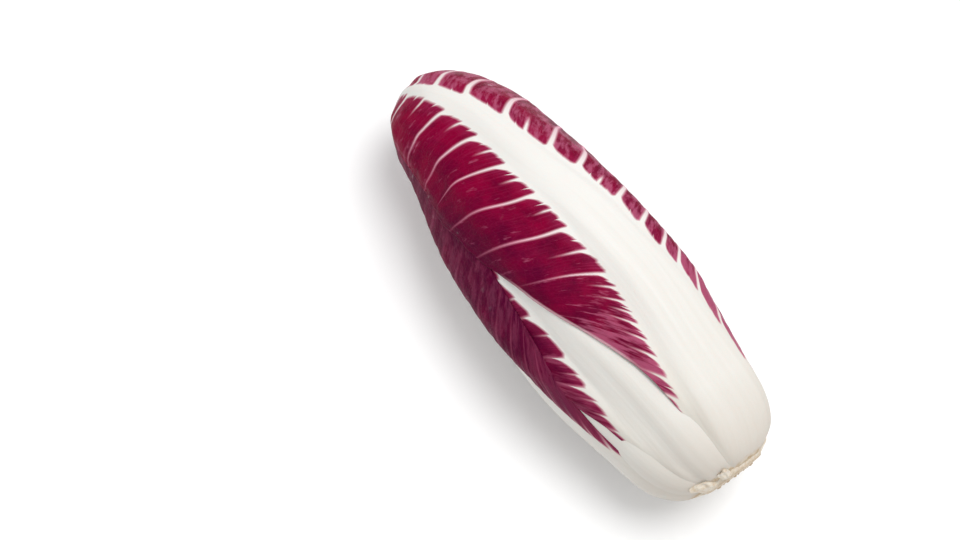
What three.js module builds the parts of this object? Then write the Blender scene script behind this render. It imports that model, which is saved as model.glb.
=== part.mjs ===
// A head of Treviso radicchio, lying on its side: a cut stem end, a tight inner heart,
// and eight wrapper leaves that grow from the stem in a spiral and lap over each other.
//
// Millimetres, +Z up. The head lies along X with its cut end towards +X, and the origin is in
// the middle of its length and width, on the surface that it rests on.
//
// The head's outline is a surface of revolution. A place on it is a pair of angles: phi runs
// along the head, from -90 degrees at the cut end through 0 at the thickest girth to +90 at
// the nose, and theta runs round it, from 0 on top towards +Y. Every layer is a height over
// that outline, and each leaf is draped over what lies under it, from the heart outwards.
import * as THREE from "three";

const { PI, sin, cos, atan2, hypot, min, max, abs, sqrt, ceil, floor, round } = Math;
const DEGREE = PI / 180;

// Driving dimensions
const HEAD_LENGTH = 200; // from the cut end's rim to the nose
const GIRTH_STATION = 90; // from the cut end to the thickest girth
const GIRTH_RADIUS = 38;
const RIM_RADIUS = 16; // of the outline at the cut end
const NOSE_LENGTH = HEAD_LENGTH - GIRTH_STATION;

const STEM_RADIUS = 12.5; // of the cut stem
const STEM_PROUD = 1.5; // how far the cut face stands out past the leaves
const STEM_TOP = 9.7; // station where the stem ends and the heart begins
const PLAY = 0.3; // between the stem and the heart

const LEAF_GAP = 0.45; // between a leaf and what it lies on
const BLADE_THICKNESS = 1;
const ROLL = -17; // degrees that the growing head is turned about its length as it lies
const TWIST = 30; // degrees that a midrib swings round the head on its way to the nose
const TWIST_ENDS = 150; // station past which a midrib runs straight on over the nose
const GOLDEN_ANGLE = 137.5;
const FIRST_AZIMUTH = 42;
// Where the head lies, its weight presses the round underside in over an oval patch.
const PRESSED = { depth: 1.8, length: 90, width: 30, x: -2, y: 0.7, height: 16 };
const FLAT_DEPTH = 0.35; // of the truly flat spot in the middle of that patch

// Leaf shape. Each knot is a share of the leaf's length and a size.
const HALF_WIDTH = [
  [0, 14], [0.05, 20], [0.12, 23], [0.19, 24], [0.26, 28.5], [0.38, 37], [0.48, 41.5], [0.57, 44],
  [0.66, 43.5], [0.75, 40], [0.83, 34.5], [0.9, 26], [0.95, 17], [1, 4],
];
const RIB_HALF_WIDTH = [[0, 13], [0.1, 21], [0.3, 17], [0.45, 12.5], [0.6, 9], [0.8, 5.5], [1, 2.5]];
const RIB_THICKNESS = [[0, 3.4], [0.03, 5.2], [0.1, 6.8], [0.25, 6], [0.45, 4.6], [0.65, 3], [0.85, 1.6], [1, 1]];
// Height of the stem and heart over the outline, by phi in degrees.
const CORE_HEIGHT = [
  [-90, -3.2], [-83, -5.7], [-75, -9.2], [-66, -10.8], [-50, -11.2], [-30, -9.8], [0, -7.3], [30, -7.4],
  [45, -6.6], [60, -4.6], [90, -3.4],
];
const LAPS = 6; // lapped leaf edges that show on the heart
const LAP_STEP = 0.9;
const LAP_EDGE = 0.04; // share of a lap that its edge takes up
const LAP_TWIST = 0.3; // degrees round the head for each degree along it

// The leaves from the outermost inwards, each a golden angle on from the last. nudge is how
// far the leaf strays from that, start is the station where its base is, and reach is how far
// its tip runs past the nose.
const LEAVES = [
  { nudge: -2, start: 0.6, reach: 9, breadth: 1, rows: 27, columns: 7 },
  { nudge: -6, start: 0.8, reach: 2, breadth: 1.1, rows: 27, columns: 7 },
  { nudge: -2, start: 1, reach: -1, breadth: 1, rows: 27, columns: 7 },
  { nudge: 4, start: 1.2, reach: -4, breadth: 1, rows: 27, columns: 7 },
  { nudge: -14, start: 1.4, reach: -3, breadth: 0.96, rows: 27, columns: 7 },
  { nudge: 2, start: 9, reach: -6, breadth: 0.9, rows: 18, columns: 5 },
  { nudge: 4, start: 11, reach: -7, breadth: 0.88, rows: 18, columns: 5 },
  { nudge: 0, start: 13, reach: -9, breadth: 0.86, rows: 18, columns: 5 },
];

const LEAF_COLOUR = 0x7d0a2e;
const HEART_COLOUR = 0x8c1238;
const STEM_COLOUR = 0xd9c7a3;

// A smooth line through knots of [t, value], read at t.
function through(knots, t) {
  const last = knots.length - 1;
  if (t <= knots[0][0]) return knots[0][1];
  if (t >= knots[last][0]) return knots[last][1];
  const i = knots.findIndex((knot) => knot[0] > t) - 1;
  const slope = (k) => {
    const a = knots[max(k - 1, 0)];
    const b = knots[min(k + 1, last)];
    return (b[1] - a[1]) / (b[0] - a[0]);
  };
  const [t0, v0] = knots[i];
  const [t1, v1] = knots[i + 1];
  const span = t1 - t0;
  const k = (t - t0) / span;
  const bend = k * k * (3 - 2 * k);
  const leaving = k * (1 - k) * (1 - k) * span * slope(i);
  const arriving = k * k * (k - 1) * span * slope(i + 1);
  return v0 + (v1 - v0) * bend + leaving + arriving;
}

// Numbers from 0 to 1 that are the same on every run.
function seeded(seed) {
  let state = seed;
  return () => {
    state = (state * 1664525 + 1013904223) % 4294967296;
    return state / 4294967296;
  };
}

function smoothstep(from, to, t) {
  const k = min(max((t - from) / (to - from), 0), 1);
  return k * k * (3 - 2 * k);
}

// The outline's station and radius at phi, and the way that heights run there.
function ring(phi) {
  if (phi < 0) {
    const x = GIRTH_STATION * (1 + sin(phi));
    const r = RIM_RADIUS + (GIRTH_RADIUS - RIM_RADIUS) * cos(phi);
    return { x, r, outX: 0, outR: 1 };
  }
  const outX = GIRTH_RADIUS * sin(phi);
  const outR = NOSE_LENGTH * cos(phi);
  const size = hypot(outX, outR);
  const x = GIRTH_STATION + NOSE_LENGTH * sin(phi);
  return { x, r: GIRTH_RADIUS * cos(phi), outX: outX / size, outR: outR / size };
}

// The point at phi, theta and a height, about the head's own axis.
function pointAt(phi, theta, height = 0) {
  const { x, r, outX, outR } = ring(phi);
  const radius = r + height * outR;
  return new THREE.Vector3(GIRTH_STATION - x - height * outX, radius * sin(theta), radius * cos(theta));
}

// The phi and theta of a point that lies close to the outline.
function anglesOf(point) {
  const x = GIRTH_STATION - point.x;
  const r = hypot(point.y, point.z);
  const theta = atan2(point.y, point.z);
  if (x >= GIRTH_STATION) {
    return { phi: atan2((x - GIRTH_STATION) / NOSE_LENGTH, r / GIRTH_RADIUS), theta };
  }
  const back = (GIRTH_STATION - x) / GIRTH_STATION;
  const up = (r - RIM_RADIUS) / (GIRTH_RADIUS - RIM_RADIUS);
  return { phi: -atan2(back, max(up, 0)), theta };
}

function outwardAt(phi, theta) {
  const { outX, outR } = ring(phi);
  return new THREE.Vector3(-outX, outR * sin(theta), outR * cos(theta));
}

// One step of a walk on the outline. It ends on the outline, heading as straight on as it can.
function walk(point, heading, distance) {
  const { phi, theta } = anglesOf(point.clone().addScaledVector(heading, distance));
  const arrived = pointAt(phi, theta);
  const outward = outwardAt(phi, theta);
  const onward = heading.clone().addScaledVector(outward, -heading.dot(outward)).normalize();
  return { point: arrived, heading: onward, phi, theta };
}

// The midrib's walk from the leaf's base over the nose, one step a millimetre. Each step knows
// its share of the leaf's length, and how far the outline has turned under it so far.
function midrib(azimuth, start, reach) {
  const steps = [];
  let phi = Math.asin(start / GIRTH_STATION - 1);
  let point = pointAt(phi, azimuth);
  let heading = null;
  let turning = 0;
  let facing = null;
  let pastNose = Infinity;
  while (pastNose > 0) {
    const { x, r } = ring(phi);
    const theta = atan2(point.y, point.z);
    if (x < TWIST_ENDS && pastNose === Infinity) {
      const ahead = pointAt(phi + 0.2 * DEGREE, theta);
      const swing = -TWIST * DEGREE * 2 * (x / HEAD_LENGTH ** 2) * r;
      const round = new THREE.Vector3(0, cos(theta), -sin(theta));
      heading = ahead.sub(point).normalize().addScaledVector(round, swing).normalize();
    }
    const facingNow = new THREE.Vector3(sin(phi), cos(phi) * cos(theta), cos(phi) * sin(theta));
    turning += facing ? facing.angleTo(facingNow) : 0;
    facing = facingNow;
    steps.push({ point, heading, phi, theta, turning });
    const next = walk(point, heading, 1);
    if (pastNose === Infinity && x > TWIST_ENDS) {
      const noseDistance = point.distanceTo(pointAt(90 * DEGREE, 0));
      if (noseDistance < 12) pastNose = 12 + reach;
    }
    if (pastNose !== Infinity) pastNose -= 1;
    ({ point, heading, phi } = next);
  }
  steps.forEach((step, i) => {
    step.share = i / (steps.length - 1);
  });
  return steps;
}

// Heights over the outline of all that is in place so far, on a net of phi and theta.
class Cover {
  static PHI_STEP = 0.75 * DEGREE;
  static THETA_STEP = 2 * DEGREE;

  constructor(heightAt) {
    this.rows = round(PI / Cover.PHI_STEP) + 1;
    this.columns = round((2 * PI) / Cover.THETA_STEP);
    this.heights = new Float64Array(this.rows * this.columns);
    for (let at = 0; at < this.heights.length; at++) {
      const row = floor(at / this.columns);
      this.heights[at] = heightAt(row * Cover.PHI_STEP - PI / 2, (at % this.columns) * Cover.THETA_STEP);
    }
  }

  read(phi, theta) {
    const u = min(max((phi + PI / 2) / Cover.PHI_STEP, 0), this.rows - 1.001);
    const v = ((theta / Cover.THETA_STEP) % this.columns + this.columns) % this.columns;
    const i = floor(u);
    const j = floor(v);
    const next = (j + 1) % this.columns;
    const cell = (row, column) => this.heights[row * this.columns + column];
    const near = cell(i, j % this.columns) * (1 - v + j) + cell(i, next) * (v - j);
    const far = cell(i + 1, j % this.columns) * (1 - v + j) + cell(i + 1, next) * (v - j);
    return near * (1 - u + i) + far * (u - i);
  }

  // Raises the net round a place to at least a height, over a patch of that half size.
  raise(phi, theta, height, halfSize) {
    const row = round((phi + PI / 2) / Cover.PHI_STEP);
    const column = round(theta / Cover.THETA_STEP);
    const across = min(ceil(halfSize / (ring(phi).r + 0.5) / Cover.THETA_STEP), this.columns / 2);
    for (let i = max(row - 1, 0); i <= min(row + 1, this.rows - 1); i++) {
      for (let j = column - across; j <= column + across; j++) {
        const at = i * this.columns + (((j % this.columns) + this.columns) % this.columns);
        this.heights[at] = max(this.heights[at], height);
      }
    }
  }
}

// How far across the half blade each column of a leaf stands, closer together over the rib.
function columnShares(columns) {
  const half = Array.from({ length: columns }, (_, k) => ((k + 1) / columns) ** 1.25);
  return [...half.map((share) => -share).reverse(), 0, ...half];
}

function leafThickness(share, distance) {
  const halfRib = through(RIB_HALF_WIDTH, share);
  const ribThickness = through(RIB_THICKNESS, share);
  const across = min(abs(distance) / halfRib, 1);
  return BLADE_THICKNESS + (ribThickness - BLADE_THICKNESS) * (1 - across * across) ** 1.3;
}

// The outer and inner faces of a closed blade share one triangulation.
function closedBlade(outer, inner, rows, columns) {
  const positions = [...outer, ...inner].flatMap((p) => [p.x, p.y, p.z]);
  const indices = [];
  const under = outer.length;
  const quad = (a, b, c, d) => indices.push(a, b, c, a, c, d);
  const at = (i, j) => i * columns + j;
  for (let i = 0; i < rows - 1; i++) {
    for (let j = 0; j < columns - 1; j++) {
      const [a, b, c, d] = [at(i, j), at(i, j + 1), at(i + 1, j + 1), at(i + 1, j)];
      quad(a, b, c, d);
      indices.push(under + a, under + c, under + b, under + a, under + d, under + c);
    }
  }
  const wall = (a, b) => quad(b, a, under + a, under + b);
  for (let j = 0; j < columns - 1; j++) {
    wall(at(0, j), at(0, j + 1));
    wall(at(rows - 1, j + 1), at(rows - 1, j));
  }
  for (let i = 0; i < rows - 1; i++) {
    wall(at(i + 1, 0), at(i, 0));
    wall(at(i, columns - 1), at(i + 1, columns - 1));
  }
  return new THREE.BufferGeometry()
    .setAttribute("position", new THREE.Float32BufferAttribute(positions, 3))
    .setIndex(indices);
}

// A leaf draped over the cover, which it then becomes part of.
function drapedLeaf(leaf, index, cover) {
  const FINE = 6; // walk steps to a cell of the leaf's own net
  const azimuth = (FIRST_AZIMUTH - GOLDEN_ANGLE * index + leaf.nudge + ROLL) * DEGREE;
  const rib = midrib(azimuth, leaf.start, leaf.reach);
  const random = seeded(index + 3);
  const phase = [random(), random(), random(), random()].map((r) => r * 2 * PI);
  const shares = columnShares(leaf.columns);
  const columns = shares.length;
  const fineRows = (leaf.rows - 1) * FINE + 1;
  const fineColumns = (columns - 1) * FINE + 1;
  const fineShare = (j) => {
    const k = min(floor(j / FINE), columns - 2);
    return shares[k] + (shares[k + 1] - shares[k]) * (j / FINE - k);
  };

  // The walk from the midrib out to both margins, row by row.
  const net = [];
  for (let i = 0; i < fineRows; i++) {
    const turning = (i / (fineRows - 1)) * rib.at(-1).turning;
    const step = rib.find((candidate) => candidate.turning >= turning - 1e-9);
    const share = step.share;
    const halfWidth = through(HALF_WIDTH, share) * leaf.breadth;
    const straight = smoothstep(0, 40 * DEGREE, step.phi);
    const middle = (fineColumns - 1) / 2;
    const row = new Array(fineColumns);
    row[middle] = { phi: step.phi, theta: step.theta, share, distance: 0, edge: 0 };
    for (const side of [-1, 1]) {
      const margin = 1 + 0.035 * sin(share * 31 + phase[side + 1]) + 0.02 * sin(share * 67 + phase[side + 2]);
      let { point, phi, theta } = step;
      let heading = step.heading.clone().cross(outwardAt(phi, theta)).multiplyScalar(side).normalize();
      let distance = 0;
      for (let k = 1; k <= middle; k++) {
        const target = abs(fineShare(middle + k)) * halfWidth * margin;
        const hops = max(ceil((target - distance) / 1.5), 1);
        for (let hop = 0; hop < hops; hop++) {
          const round = new THREE.Vector3(0, cos(theta), -sin(theta)).multiplyScalar(side);
          const way = round.lerp(heading, straight).normalize();
          ({ point, heading, phi, theta } = walk(point, way, (target - distance) / hops));
        }
        distance = target;
        row[middle + side * k] = { phi, theta, share, distance: side * distance, edge: k / middle };
      }
    }
    net.push(row);
  }

  // What the leaf lies on: the highest of the cover within a cell of each vertex.
  const support = [];
  for (let i = 0; i < leaf.rows; i++) {
    for (let j = 0; j < columns; j++) {
      let highest = -Infinity;
      for (let fi = max((i - 1) * FINE, 0); fi <= min((i + 1) * FINE, fineRows - 1); fi++) {
        for (let fj = max((j - 1) * FINE, 0); fj <= min((j + 1) * FINE, fineColumns - 1); fj++) {
          highest = max(highest, cover.read(net[fi][fj].phi, net[fi][fj].theta));
        }
      }
      support.push(highest + LEAF_GAP);
    }
  }
  const read = (list, i, j) => list[min(max(i, 0), leaf.rows - 1) * columns + min(max(j, 0), columns - 1)];

  // A leaf is stiff, so it bridges the small hollows in what it lies on.
  let inside = support;
  for (let pass = 0; pass < 2; pass++) {
    inside = inside.map((height, at) => {
      const i = floor(at / columns);
      const j = at % columns;
      const round = [[-1, 0], [1, 0], [0, -1], [0, 1]].map(([di, dj]) => read(inside, i + di, j + dj));
      return max(height, round.reduce((a, b) => a + b) / 4);
    });
  }

  const outside = inside.map((height, at) => {
    const { share, distance, edge } = net[floor(at / columns) * FINE][(at % columns) * FINE];
    const ripple = 0.35 * (1 + sin(share * 24 + phase[0])) * smoothstep(0.45, 0.8, share) * edge ** 4;
    inside[at] = height + ripple;
    return inside[at] + leafThickness(share, distance);
  });

  for (let i = 0; i < fineRows; i++) {
    for (let j = 0; j < fineColumns; j++) {
      const ci = min(floor(i / FINE), leaf.rows - 2);
      const cj = min(floor(j / FINE), columns - 2);
      const u = i / FINE - ci;
      const v = j / FINE - cj;
      const near = read(outside, ci, cj) * (1 - v) + read(outside, ci, cj + 1) * v;
      const far = read(outside, ci + 1, cj) * (1 - v) + read(outside, ci + 1, cj + 1) * v;
      const { phi, theta } = net[i][j];
      cover.raise(phi, theta, near * (1 - u) + far * u, 1.4);
    }
  }

  const vertices = (heights) =>
    heights.map((height, at) => {
      const { phi, theta } = net[floor(at / columns) * FINE][(at % columns) * FINE];
      return pointAt(phi, theta, height);
    });
  return { outer: vertices(outside), inner: vertices(inside), rows: leaf.rows, columns };
}

function turned(points, sides) {
  const profile = points.map(([x, r]) => new THREE.Vector2(r, x));
  return new THREE.LatheGeometry(profile.reverse(), sides).rotateZ(-PI / 2);
}

// Between the laps the heart's leaves slope gently down, and at each lap they step up again.
function coreHeight(phi, theta) {
  const turn = (theta / DEGREE - LAP_TWIST * (phi / DEGREE)) / (360 / LAPS);
  const part = turn - floor(turn);
  const lap = part < LAP_EDGE ? part / LAP_EDGE : (1 - part) / (1 - LAP_EDGE);
  return through(CORE_HEIGHT, phi / DEGREE) + LAP_STEP * lap * cos(phi);
}

// Stem: the cut face and the short cone that the leaves grow from.
function stemGeometry() {
  const coneRadius = (station) => {
    const phi = Math.asin(station / GIRTH_STATION - 1);
    return ring(phi).r + through(CORE_HEIGHT, phi / DEGREE);
  };
  const outline = [
    [-STEM_PROUD, 0],
    [-STEM_PROUD, STEM_RADIUS - 0.8],
    [-STEM_PROUD + 0.8, STEM_RADIUS],
    [STEM_TOP / 3, coneRadius(STEM_TOP / 3)],
    [STEM_TOP, coneRadius(STEM_TOP)],
    [STEM_TOP, 0],
  ];
  return turned(outline.map(([station, r]) => [GIRTH_STATION - station, r]), 24);
}

// Heart: the tightly packed young leaves, as one body with their lapped edges.
function heartGeometry() {
  const ROWS = 22;
  const COLUMNS_A_LAP = 5;
  const columns = LAPS * COLUMNS_A_LAP;
  const from = Math.asin((STEM_TOP + PLAY) / GIRTH_STATION - 1);
  const points = [new THREE.Vector3(GIRTH_STATION - STEM_TOP - PLAY, 0, 0)];
  const indices = [];
  for (let i = 0; i < ROWS; i++) {
    const phi = from + ((PI / 2 - from) * i) / ROWS;
    for (let j = 0; j < columns; j++) {
      const k = j % COLUMNS_A_LAP;
      const part = k === 0 ? 0 : LAP_EDGE + ((1 - LAP_EDGE) * (k - 1)) / (COLUMNS_A_LAP - 1);
      const turn = ((j - k) / COLUMNS_A_LAP + part) * (360 / LAPS) + LAP_TWIST * (phi / DEGREE);
      points.push(pointAt(phi, turn * DEGREE, coreHeight(phi, turn * DEGREE)));
    }
  }
  points.push(pointAt(PI / 2, 0, coreHeight(PI / 2, 0)));
  for (let j = 0; j < columns; j++) {
    const next = (j + 1) % columns;
    indices.push(0, 1 + next, 1 + j);
    for (let i = 0; i < ROWS - 1; i++) {
      const [a, b] = [1 + i * columns + j, 1 + i * columns + next];
      indices.push(a, b, b + columns, a, b + columns, a + columns);
    }
    const last = 1 + (ROWS - 1) * columns;
    indices.push(last + j, last + next, points.length - 1);
  }
  const positions = points.flatMap((p) => [p.x, p.y, p.z]);
  return new THREE.BufferGeometry()
    .setAttribute("position", new THREE.Float32BufferAttribute(positions, 3))
    .setIndex(indices);
}

function material(color, roughness) {
  return new THREE.MeshStandardMaterial({ color, roughness, metalness: 0 });
}

const head = new THREE.Group();
const cover = new Cover(coreHeight);
const shells = [];
for (let index = LEAVES.length - 1; index >= 0; index--) {
  shells.unshift(drapedLeaf(LEAVES[index], index, cover));
}


const heartShape = heartGeometry();
const lowest = shells.flatMap((shell) => shell.outer).reduce((low, p) => min(low, p.z), Infinity);

// How much higher a point sits for the pressing of the underside.
function pressed({ x, y, z }) {
  const along = (2 * (x - PRESSED.x)) / PRESSED.length;
  const across = (2 * (y - PRESSED.y)) / PRESSED.width;
  const inward = max(1 - (z - lowest) / PRESSED.height, 0);
  return PRESSED.depth * max(1 - along ** 2 - across ** 2, 0) ** 1.5 * inward;
}

let underside = Infinity;
for (const { outer, inner } of shells) {
  for (const p of [...outer, ...inner]) {
    p.z += pressed(p);
    underside = min(underside, p.z);
  }
}
const lift = -(underside + FLAT_DEPTH);

shells.forEach(({ outer, inner, rows, columns }, index) => {
  for (const p of [...outer, ...inner]) p.z = max(p.z + lift, 0);
  const mesh = new THREE.Mesh(closedBlade(outer, inner, rows, columns), material(LEAF_COLOUR, 0.4));
  mesh.name = `leaf_${index + 1}`;
  head.add(mesh);
});

const places = heartShape.attributes.position;
for (let i = 0; i < places.count; i++) {
  const p = new THREE.Vector3().fromBufferAttribute(places, i);
  places.setZ(i, p.z + pressed(p));
}
const heart = new THREE.Mesh(heartShape, material(HEART_COLOUR, 0.45));
heart.name = "heart";
heart.position.z = lift;
const stem = new THREE.Mesh(stemGeometry(), material(STEM_COLOUR, 0.8));
stem.name = "stem";
stem.position.z = lift;
head.add(heart, stem);

const middle = new THREE.Box3().setFromObject(head).getCenter(new THREE.Vector3());
for (const mesh of head.children) {
  mesh.position.x -= middle.x;
  mesh.position.y -= middle.y;
}

export default head;
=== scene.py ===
import math

import bpy
import numpy as np
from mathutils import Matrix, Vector
from mathutils.bvhtree import BVHTree


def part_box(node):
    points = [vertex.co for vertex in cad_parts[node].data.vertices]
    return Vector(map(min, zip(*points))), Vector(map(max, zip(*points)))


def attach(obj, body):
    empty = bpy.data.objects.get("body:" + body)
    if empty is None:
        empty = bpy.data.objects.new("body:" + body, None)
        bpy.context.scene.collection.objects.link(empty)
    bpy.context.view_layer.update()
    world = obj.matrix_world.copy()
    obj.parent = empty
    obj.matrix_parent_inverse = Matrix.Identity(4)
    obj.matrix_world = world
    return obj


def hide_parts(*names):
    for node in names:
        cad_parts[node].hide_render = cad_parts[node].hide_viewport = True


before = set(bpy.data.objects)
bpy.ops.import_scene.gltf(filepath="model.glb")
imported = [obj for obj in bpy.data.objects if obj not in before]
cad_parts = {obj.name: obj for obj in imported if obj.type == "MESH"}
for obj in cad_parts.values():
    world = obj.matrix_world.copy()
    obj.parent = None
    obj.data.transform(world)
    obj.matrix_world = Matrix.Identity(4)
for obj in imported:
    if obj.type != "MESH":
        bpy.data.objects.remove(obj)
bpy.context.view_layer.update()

MM = 0.001
DEGREE = math.pi / 180

# ---------------------------------------------------------------- driving dimensions

HEAD_LENGTH = 200
GIRTH_STATION = 90  # from the cut end's rim to the thickest girth
GIRTH_RADIUS = 38
RIM_RADIUS = 16  # of the outline at the cut end
NOSE_LENGTH = HEAD_LENGTH - GIRTH_STATION

STEM_PROUD = 1.5  # how far the cut face stands out past the leaves
STEM_TOP = 9.7  # station where the stem ends
HEART_START = STEM_TOP + 0.3

CUT_RADIUS = 12.6
CUT_SLANT = 11  # degrees that the cut face leans to look a little downwards
SLANT_STARTS = 58  # along the axis, where the cut end starts to lean over with it
BASE_REACH = 4.6  # how much longer the petioles are at the cut end, from BASE_STARTS on
BASE_STARTS = 42
# Stumps of the leaves that were trimmed off, with the azimuth in degrees
STUMPS = [
    {"azimuth": -60, "half_width": 5.5, "length": 4.6, "thick": 2},
    {"azimuth": -26, "half_width": 3.2, "length": 3, "thick": 1.5},
    {"azimuth": 112, "half_width": 7, "length": 4, "thick": 1.3},
    {"azimuth": -134, "half_width": 6, "length": 4.5, "thick": 1.4},
]

LEAF_GAP = 0.12
ROLL = -17  # degrees that the growing head is turned about its length as it lies
TWIST = 30  # degrees that a midrib swings round the head on its way to the nose
TWIST_ENDS = 150  # station past which a midrib runs straight on over the nose
NOSE_NEAR = 12  # how close to the nose a midrib counts as having reached it
GOLDEN_ANGLE = 137.5
FIRST_AZIMUTH = 42

# Knots of [share of the leaf's length, millimetres]
HALF_WIDTH = [
    [0, 14], [0.05, 18.5], [0.12, 21.5], [0.19, 24], [0.26, 28.5], [0.38, 37], [0.48, 41.5],
    [0.57, 44], [0.66, 43.5], [0.75, 40], [0.83, 34.5], [0.9, 26], [0.95, 17], [1, 4],
]
RIB_THICKNESS = [
    [0, 3.4], [0.03, 5.2], [0.1, 6.8], [0.25, 6], [0.45, 4.6], [0.65, 3], [0.85, 1.6], [1, 0.9],
]
RIB_HALF_WIDTH = [[0, 12], [0.1, 18], [0.3, 17], [0.45, 12.5], [0.6, 9], [0.8, 5.5], [1, 2.5]]
WHITE_HALF_WIDTH = [
    [0, 30], [0.1, 23], [0.14, 19.8], [0.18, 19], [0.22, 17.6], [0.29, 15.8], [0.34, 14.3],
    [0.4, 13], [0.46, 12.8], [0.52, 11.6], [0.6, 9.4], [0.68, 7], [0.76, 5.2], [0.85, 2.9],
    [0.93, 1.3], [1, 0.6],
]
BLADE_THICKNESS = 0.85
EDGE_THICKNESS = 0.3
END_THICKNESS = 0.12  # share of it that is left at the very end of a petiole
SUPPLE, STIFF = 1.2, 3.2  # a leaf this thin follows the small hollows, and this thick bridges them
CUT_ROUND = 5.5  # how far the cut end of a petiole is rounded over
CROWN_SINK = 2.2  # how far a petiole's margins are pressed in beside the crown
MARGIN_SINK = 0.33  # how far a leaf's lower margins are pressed into what they lie on
FRAY = 0.4  # how far its upper margins lift off
# How a margin wavers, as [share of the leaf's half width, rows from one bend to the next]
WAVER = [[0.03, 17], [0.008, 4]]
ROW_CROWDING = 1.15  # rows are closer together near a leaf's base where this is over 1
PETIOLE_RIDGES = 4.0
BURIED_RIDGES = 1.5  # on the leaves that only show in slits between the outer ones
OUTER_LEAVES = 4

# Height of the stem and heart over the outline, by phi in degrees
CORE_HEIGHT = [
    [-90, -3.2], [-83, -5.7], [-75, -9.2], [-66, -10.8], [-50, -11.2], [-30, -9.8], [0, -7.3],
    [30, -7.4], [45, -6.6], [60, -4.6], [90, -3.4],
]
CORE_PADDING = [
    [-90, 0.2], [-75, 2.6], [-63, 6], [-52, 4.5], [-43, 3.2], [-35, 2.6], [-20, 2.8], [0, 2.5],
    [14, 3.3], [24, 3.6], [36, 3.1], [45, 3.6], [60, 4.6], [70, 4.2], [90, 5],
]
LAPS = 6  # lapped leaf edges that show on the heart
LAP_STEP = 0.9
LAP_EDGE = 0.04
LAP_TWIST = 0.3
HEART_INSET = 0.4  # between the heart's skin and the core's height that the leaves lie on

# Where the head lies, its weight presses the round underside in over an oval patch
PRESSED = {"depth": 1.8, "length": 90, "width": 30, "x": -2, "y": 0.7, "height": 16}

# How far the white midrib of a leaf with a sway of 1 strays from the leaf's middle, by share
SWAY = [
    [0, 0], [0.2, 1.2], [0.36, 3.2], [0.5, 3.2], [0.6, 1.6], [0.7, 1], [0.8, 0.2], [0.86, -0.5],
    [0.93, -1.5], [1, -3],
]

# How much narrower that midrib's right half is than its left, by share
RIGHT_INSET = [[0, 9], [0.14, 7], [0.2, 4.5], [0.27, 1.5], [0.32, 0], [1, 0]]

TALLER = 1.034  # how much taller than wide the head is
FLOOR_CLEARANCE = 0.14  # so that the relief of the lowest leaf stays over the floor

# How far the head bows towards +Y, by distance along its axis
BOW = [
    [-106, 0.3], [-94, 0.9], [-84, 1.9], [-76, 2.3], [-65, 1.8], [-45, 0.9], [-26, 0.7],
    [0, 0], [92, 0],
]

# The leaves from the outermost inwards, each a golden angle on from the last and turned by its
# nudge. A midrib begins at its start and runs on past the nose by its reach, and its net has so
# many rows, with half as many columns to each side. The rest is only given where it differs from
# what Leaf and DEFAULT_LOOK say: sway and breadth and white scale the SWAY, the HALF_WIDTH and
# the WHITE_HALF_WIDTH, and spread the gaps between veins. The purple strength is painted shade and
# reflection: how far the whole blade is painted plum. Veins is a strength, lobes scales how deep
# the blade is cut, fingers is the number of teeth to a lobe, saw is how far a lobe slants in
# millimetres, and blunt scales how round its tip is.
LEAVES = [
    {
        "nudge": -2, "start": 0.6, "reach": 9, "rows": 240, "half": 62,
        "sway": 1, "purple_shade_and_reflection": 0, "veins": 1, "lobes": 1,
    },
    {
        "nudge": -6, "start": 0.8, "reach": 2, "rows": 230, "half": 62,
        "breadth": 1.1, "white": 1.14, "purple_shade_and_reflection": 0.75, "veins": 0.15, "lobes": 0.7,
    },
    {"nudge": -2, "start": 1.0, "reach": -1, "rows": 230, "half": 62, "purple_shade_and_reflection": 0.3},
    {
        "nudge": 4, "start": 1.2, "reach": -4, "rows": 230, "half": 62,
        "breadth": 1.05, "white": 1.12, "spread": 1.5, "purple_shade_and_reflection": 0.5, "veins": 0.1,
        "lobes": 0.4, "fingers": 1, "saw": 6, "blunt": 2,
    },
    {
        "nudge": -14, "start": 1.4, "reach": -3, "rows": 200, "half": 50,
        "breadth": 0.96, "purple_shade_and_reflection": 0.3,
    },
    {"nudge": 2, "start": 2.4, "reach": -6, "rows": 150, "half": 36, "breadth": 0.9},
    {"nudge": 4, "start": 1.8, "reach": -7, "rows": 150, "half": 36, "breadth": 0.88},
    {"nudge": 0, "start": 3, "reach": -9, "rows": 150, "half": 36, "breadth": 0.86},
]
DEFAULT_LOOK = {"purple_shade_and_reflection": 0.4, "veins": 0.8, "lobes": 0.8, "fingers": 2, "saw": 1.5, "blunt": 1}
DRIED_START = 1.5  # the petioles that start below this station have a dry cut end

# The camera's bearing and height over the level in degrees, its distance, and how far it aims
# past the head's middle to its own right and upwards
CAMERA = {"bearing": 53.2, "height": 67.6, "distance": 892, "right": -34.5, "up": 0.7, "lens": 85}
HEAD_MIDDLE = 38  # over the floor
LIGHT_AIM = 40  # over the floor
FLOOR_TONE = 0.9
FLOOR_REACH = 6.0  # metres from the middle to each side
SKY_STRENGTH = 0.76


# ---------------------------------------------------------------- node trees


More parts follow.
